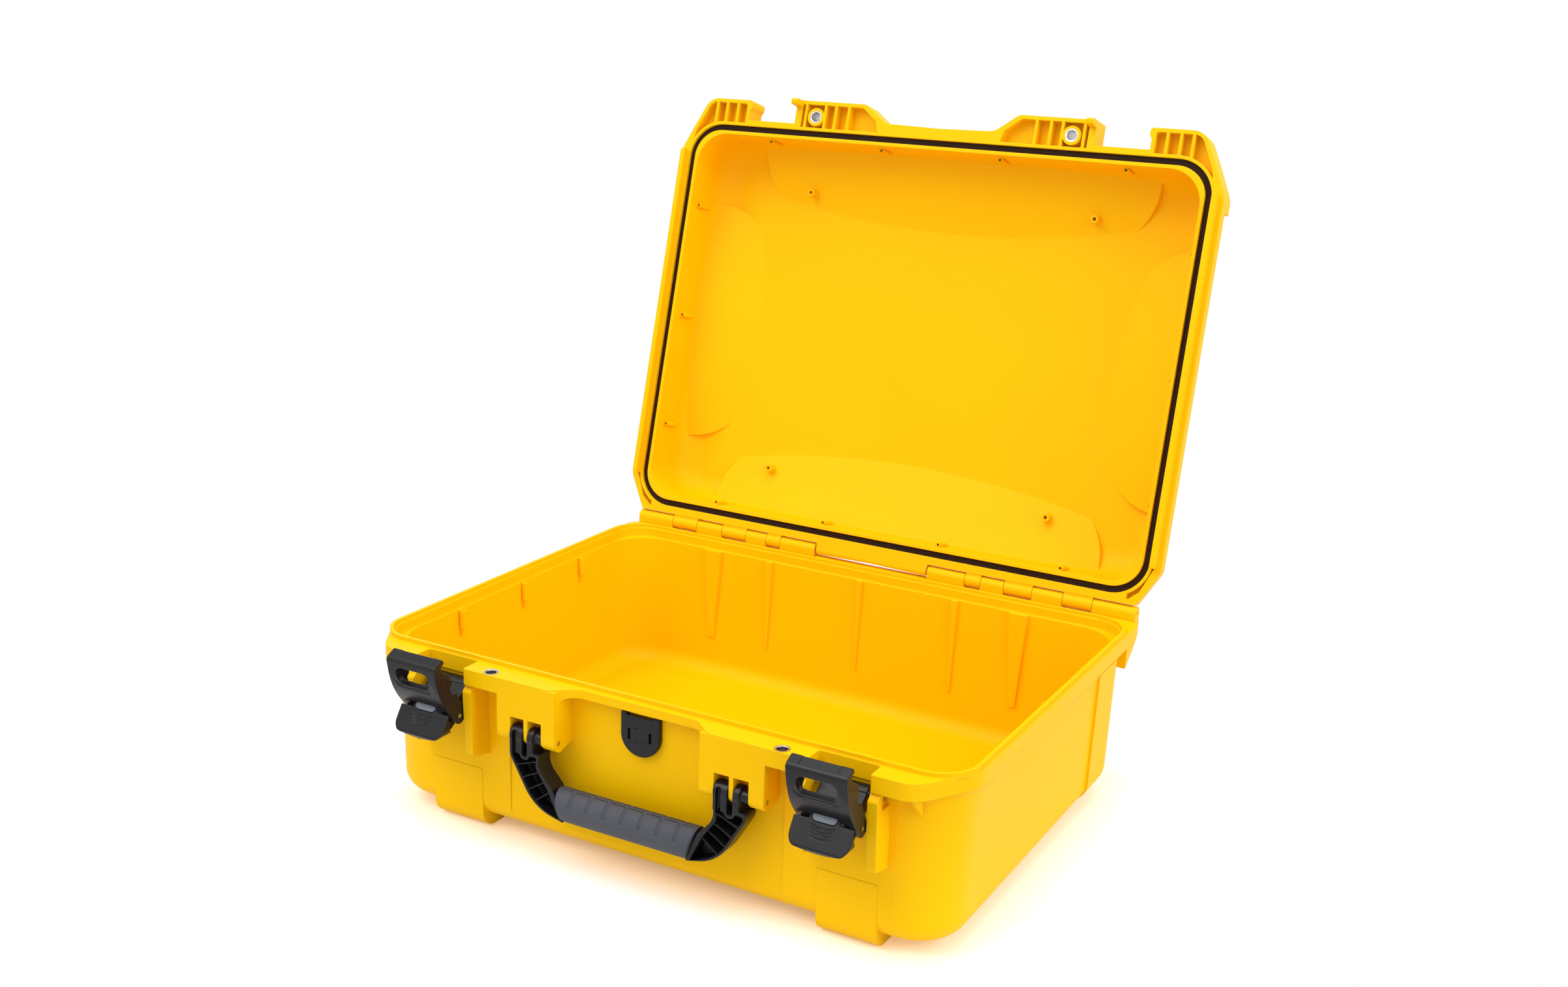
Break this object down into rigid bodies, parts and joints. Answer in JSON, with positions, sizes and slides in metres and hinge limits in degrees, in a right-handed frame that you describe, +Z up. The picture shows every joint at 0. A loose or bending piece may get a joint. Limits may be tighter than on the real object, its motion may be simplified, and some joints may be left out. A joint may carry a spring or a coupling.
{
  "type": "protective hard case",
  "caption": "Moulded hard case with a hinged lid stood open, gasket rim, toggle latches with lock buttons, padlock eyelets, pressure vent and a swinging front handle.",
  "frame": {"origin": "on the plane of the four feet, under the middle of the clear space", "axes": "+X to the right seen from the front, -Y to the front (handle and latches), +Z up"},
  "size_m": [0.494, 0.5385, 0.5133],
  "materials": {
    "shell_yellow": "moulded, fine satin texture",
    "gasket_rubber": "soft, ribbed",
    "black_plastic": "moulded, satin",
    "grip_rubber": "soft, grooved",
    "button_plastic": "moulded, satin",
    "membrane": "breathing felt",
    "steel": "turned"
  },
  "bodies": {
    "base": {"base_shell": "shell_yellow", "vent_cover": "black_plastic", "vent_membrane": "membrane", "vent_seal": "gasket_rubber", "vent_nut": "black_plastic", "hinge_pin_right": "steel", "handle_pin_right": "steel", "base_eyelet_right": "steel", "latch_pivot_pin_right": "steel", "hinge_pin_left": "steel", "handle_pin_left": "steel", "base_eyelet_left": "steel", "latch_pivot_pin_left": "steel"},
    "lid": {"lid_shell": "shell_yellow", "lid_gasket": "gasket_rubber", "lid_eyelet_right": "steel", "lid_eyelet_left": "steel"},
    "handle": {"handle_frame": "black_plastic", "handle_grip": "grip_rubber"},
    "lever_right": {"latch_lever_right": "black_plastic", "claw_pin_right": "steel", "button_spring_right": "steel"},
    "claw_right": {"latch_claw_right": "black_plastic"},
    "button_right": {"latch_button_right": "button_plastic"},
    "lever_left": {"latch_lever_left": "black_plastic", "claw_pin_left": "steel", "button_spring_left": "steel"},
    "claw_left": {"latch_claw_left": "black_plastic"},
    "button_left": {"latch_button_left": "button_plastic"}
  },
  "joints": [
    {"name": "lid_hinge", "type": "hinge", "parent": "base", "child": "lid", "pos_m": [0, 0.185, 0.139], "axis": [-1, 0, 0], "range_deg": [-104.2, 0]},
    {"name": "handle_swing", "type": "hinge", "parent": "base", "child": "handle", "pos_m": [0, -0.1845, 0.094], "axis": [-1, 0, 0], "range_deg": [-6, 110]},
    {"name": "latch_lever_right_swing", "type": "hinge", "parent": "base", "child": "lever_right", "pos_m": [0.159, -0.17507, 0.1141], "axis": [-1, 0, 0], "range_deg": [-40.1, 0]},
    {"name": "latch_claw_right_swing", "type": "hinge", "parent": "lever_right", "child": "claw_right", "pos_m": [0.159, -0.193, 0.099], "axis": [1, 0, 0], "range_deg": [-66.2, 0]},
    {"name": "latch_button_right_press", "type": "slide", "parent": "lever_right", "child": "button_right", "axis": [0, 0.8396, -0.5433], "range_m": [0, 0.002], "stiffness_N_per_m": 600},
    {"name": "latch_lever_left_swing", "type": "hinge", "parent": "base", "child": "lever_left", "pos_m": [-0.159, -0.17507, 0.1141], "axis": [-1, 0, 0], "range_deg": [-40.1, 0]},
    {"name": "latch_claw_left_swing", "type": "hinge", "parent": "lever_left", "child": "claw_left", "pos_m": [-0.159, -0.193, 0.099], "axis": [1, 0, 0], "range_deg": [-66.2, 0]},
    {"name": "latch_button_left_press", "type": "slide", "parent": "lever_left", "child": "button_left", "axis": [0, 0.8396, -0.5433], "range_m": [0, 0.002], "stiffness_N_per_m": 600}
  ],
  "couplings": [
    {"joint": "latch_claw_right_swing", "follows": "latch_lever_right_swing", "ratio": 1.648},
    {"joint": "latch_claw_left_swing", "follows": "latch_lever_left_swing", "ratio": 1.648}
  ]
}
